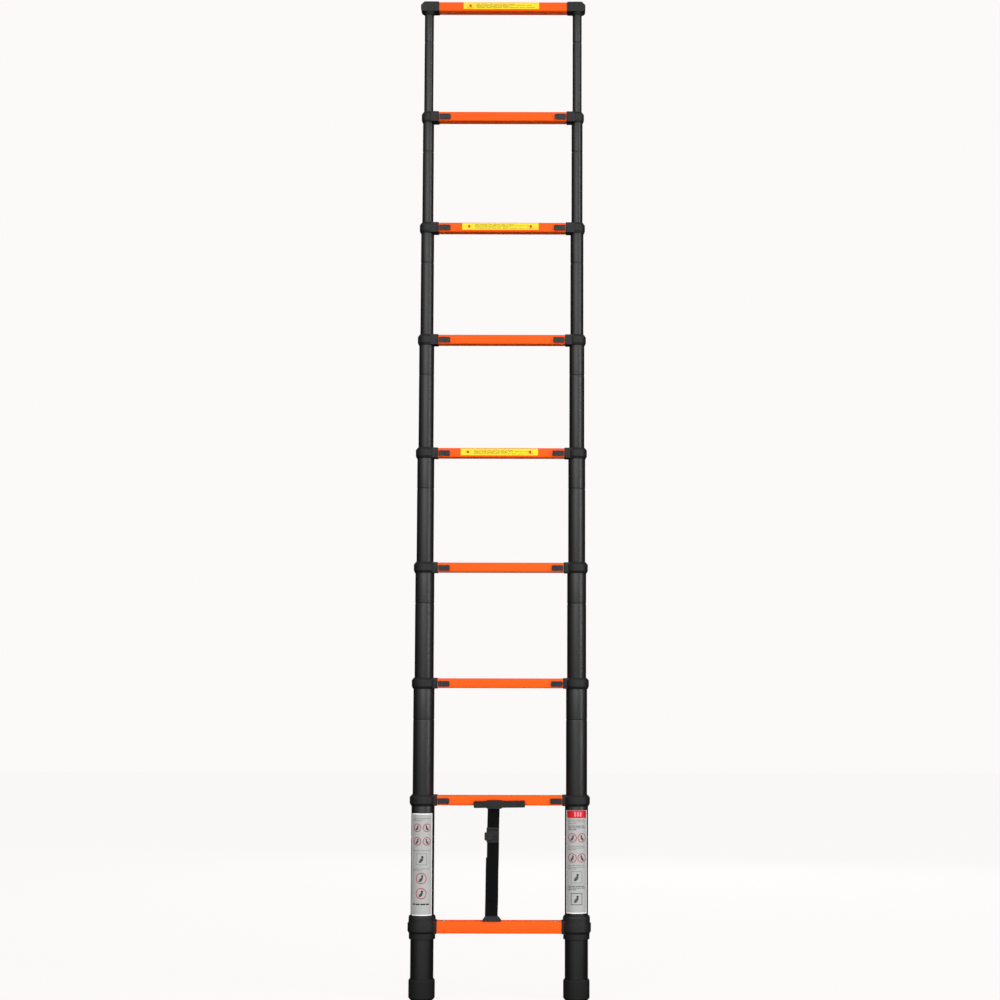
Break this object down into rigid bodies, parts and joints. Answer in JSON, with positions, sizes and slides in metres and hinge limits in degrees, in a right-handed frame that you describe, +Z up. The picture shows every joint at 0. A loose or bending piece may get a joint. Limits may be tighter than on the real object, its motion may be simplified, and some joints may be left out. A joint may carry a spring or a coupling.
{
  "type": "telescopic extension ladder",
  "caption": "Telescopic ladder: nested round black tubes that slide down section by section, flat orange rungs in black collars with sliding thumb latches, rubber feet and a webbing strap.",
  "frame": {"origin": "on the floor, midway between the two feet", "axes": "+Z up along the tubes, +X along the rungs to the right, the front with the latches and labels faces -Y"},
  "size_m": [0.466, 0.074, 2.5945],
  "materials": {
    "tube_coating": "satin black powder coat on drawn aluminium tube",
    "rung_coating": "satin orange powder coat on extruded aluminium",
    "moulded_plastic": "fine-grained moulded black plastic",
    "latch_plastic": "smooth satin black plastic",
    "foot_rubber": "matt moulded rubber",
    "strap_webbing": "woven black webbing with moulded handle and buckle",
    "label_film": "printed film label with blank bars and rings",
    "notice_film": "printed yellow film strip with blank bars",
    "bare_steel": "zinc-plated steel"
  },
  "bodies": {
    "base": {"foot_left": "foot_rubber", "foot_right": "foot_rubber", "tube_1_left": "tube_coating", "tube_1_right": "tube_coating", "rung_bracket_left": "moulded_plastic", "rung_bracket_right": "moulded_plastic", "rung_1": "rung_coating", "rung_2": "rung_coating", "collar_2_left": "moulded_plastic", "collar_2_right": "moulded_plastic", "storage_strap": "strap_webbing"},
    "section_2": {"tube_2_left": "tube_coating", "tube_2_right": "tube_coating", "rung_3": "rung_coating", "collar_3_left": "moulded_plastic", "collar_3_right": "moulded_plastic"},
    "section_3": {"tube_3_left": "tube_coating", "tube_3_right": "tube_coating", "rung_4": "rung_coating", "collar_4_left": "moulded_plastic", "collar_4_right": "moulded_plastic"},
    "section_4": {"tube_4_left": "tube_coating", "tube_4_right": "tube_coating", "rung_5": "rung_coating", "collar_5_left": "moulded_plastic", "collar_5_right": "moulded_plastic"},
    "section_5": {"tube_5_left": "tube_coating", "tube_5_right": "tube_coating", "rung_6": "rung_coating", "collar_6_left": "moulded_plastic", "collar_6_right": "moulded_plastic"},
    "section_6": {"tube_6_left": "tube_coating", "tube_6_right": "tube_coating", "rung_7": "rung_coating", "collar_7_left": "moulded_plastic", "collar_7_right": "moulded_plastic"},
    "section_7": {"tube_7_left": "tube_coating", "tube_7_right": "tube_coating", "rung_8": "rung_coating", "collar_8_left": "moulded_plastic", "collar_8_right": "moulded_plastic"},
    "section_8": {"tube_8_left": "tube_coating", "tube_8_right": "tube_coating", "rung_9": "rung_coating", "top_cap_left": "moulded_plastic", "top_cap_right": "moulded_plastic"},
    "latch_2_left": {"latch_2_left": "latch_plastic"},
    "latch_2_right": {"latch_2_right": "latch_plastic"},
    "latch_3_left": {"latch_3_left": "latch_plastic"},
    "latch_3_right": {"latch_3_right": "latch_plastic"},
    "latch_4_left": {"latch_4_left": "latch_plastic"},
    "latch_4_right": {"latch_4_right": "latch_plastic"},
    "latch_5_left": {"latch_5_left": "latch_plastic"},
    "latch_5_right": {"latch_5_right": "latch_plastic"},
    "latch_6_left": {"latch_6_left": "latch_plastic"},
    "latch_6_right": {"latch_6_right": "latch_plastic"},
    "latch_7_left": {"latch_7_left": "latch_plastic"},
    "latch_7_right": {"latch_7_right": "latch_plastic"},
    "latch_8_left": {"latch_8_left": "latch_plastic"},
    "latch_8_right": {"latch_8_right": "latch_plastic"}
  },
  "joints": [
    {"name": "section_2_slide", "type": "slide", "parent": "base", "child": "section_2", "axis": [0, 0, 1], "range_m": [-0.266, 0]},
    {"name": "section_3_slide", "type": "slide", "parent": "section_2", "child": "section_3", "axis": [0, 0, 1], "range_m": [-0.266, 0]},
    {"name": "section_4_slide", "type": "slide", "parent": "section_3", "child": "section_4", "axis": [0, 0, 1], "range_m": [-0.266, 0]},
    {"name": "section_5_slide", "type": "slide", "parent": "section_4", "child": "section_5", "axis": [0, 0, 1], "range_m": [-0.266, 0]},
    {"name": "section_6_slide", "type": "slide", "parent": "section_5", "child": "section_6", "axis": [0, 0, 1], "range_m": [-0.266, 0]},
    {"name": "section_7_slide", "type": "slide", "parent": "section_6", "child": "section_7", "axis": [0, 0, 1], "range_m": [-0.266, 0]},
    {"name": "section_8_slide", "type": "slide", "parent": "section_7", "child": "section_8", "axis": [0, 0, 1], "range_m": [-0.262, 0]},
    {"name": "latch_2_left_slide", "type": "slide", "parent": "base", "child": "latch_2_left", "axis": [1, 0, 0], "range_m": [0, 0.009], "stiffness_N_per_m": 300, "springref_m": -0.01},
    {"name": "latch_2_right_slide", "type": "slide", "parent": "base", "child": "latch_2_right", "axis": [-1, 0, 0], "range_m": [0, 0.009], "stiffness_N_per_m": 300, "springref_m": -0.01},
    {"name": "latch_3_left_slide", "type": "slide", "parent": "section_2", "child": "latch_3_left", "axis": [1, 0, 0], "range_m": [0, 0.009], "stiffness_N_per_m": 300, "springref_m": -0.01},
    {"name": "latch_3_right_slide", "type": "slide", "parent": "section_2", "child": "latch_3_right", "axis": [-1, 0, 0], "range_m": [0, 0.009], "stiffness_N_per_m": 300, "springref_m": -0.01},
    {"name": "latch_4_left_slide", "type": "slide", "parent": "section_3", "child": "latch_4_left", "axis": [1, 0, 0], "range_m": [0, 0.009], "stiffness_N_per_m": 300, "springref_m": -0.01},
    {"name": "latch_4_right_slide", "type": "slide", "parent": "section_3", "child": "latch_4_right", "axis": [-1, 0, 0], "range_m": [0, 0.009], "stiffness_N_per_m": 300, "springref_m": -0.01},
    {"name": "latch_5_left_slide", "type": "slide", "parent": "section_4", "child": "latch_5_left", "axis": [1, 0, 0], "range_m": [0, 0.009], "stiffness_N_per_m": 300, "springref_m": -0.01},
    {"name": "latch_5_right_slide", "type": "slide", "parent": "section_4", "child": "latch_5_right", "axis": [-1, 0, 0], "range_m": [0, 0.009], "stiffness_N_per_m": 300, "springref_m": -0.01},
    {"name": "latch_6_left_slide", "type": "slide", "parent": "section_5", "child": "latch_6_left", "axis": [1, 0, 0], "range_m": [0, 0.009], "stiffness_N_per_m": 300, "springref_m": -0.01},
    {"name": "latch_6_right_slide", "type": "slide", "parent": "section_5", "child": "latch_6_right", "axis": [-1, 0, 0], "range_m": [0, 0.009], "stiffness_N_per_m": 300, "springref_m": -0.01},
    {"name": "latch_7_left_slide", "type": "slide", "parent": "section_6", "child": "latch_7_left", "axis": [1, 0, 0], "range_m": [0, 0.009], "stiffness_N_per_m": 300, "springref_m": -0.01},
    {"name": "latch_7_right_slide", "type": "slide", "parent": "section_6", "child": "latch_7_right", "axis": [-1, 0, 0], "range_m": [0, 0.009], "stiffness_N_per_m": 300, "springref_m": -0.01},
    {"name": "latch_8_left_slide", "type": "slide", "parent": "section_7", "child": "latch_8_left", "axis": [1, 0, 0], "range_m": [0, 0.009], "stiffness_N_per_m": 300, "springref_m": -0.01},
    {"name": "latch_8_right_slide", "type": "slide", "parent": "section_7", "child": "latch_8_right", "axis": [-1, 0, 0], "range_m": [0, 0.009], "stiffness_N_per_m": 300, "springref_m": -0.01}
  ]
}
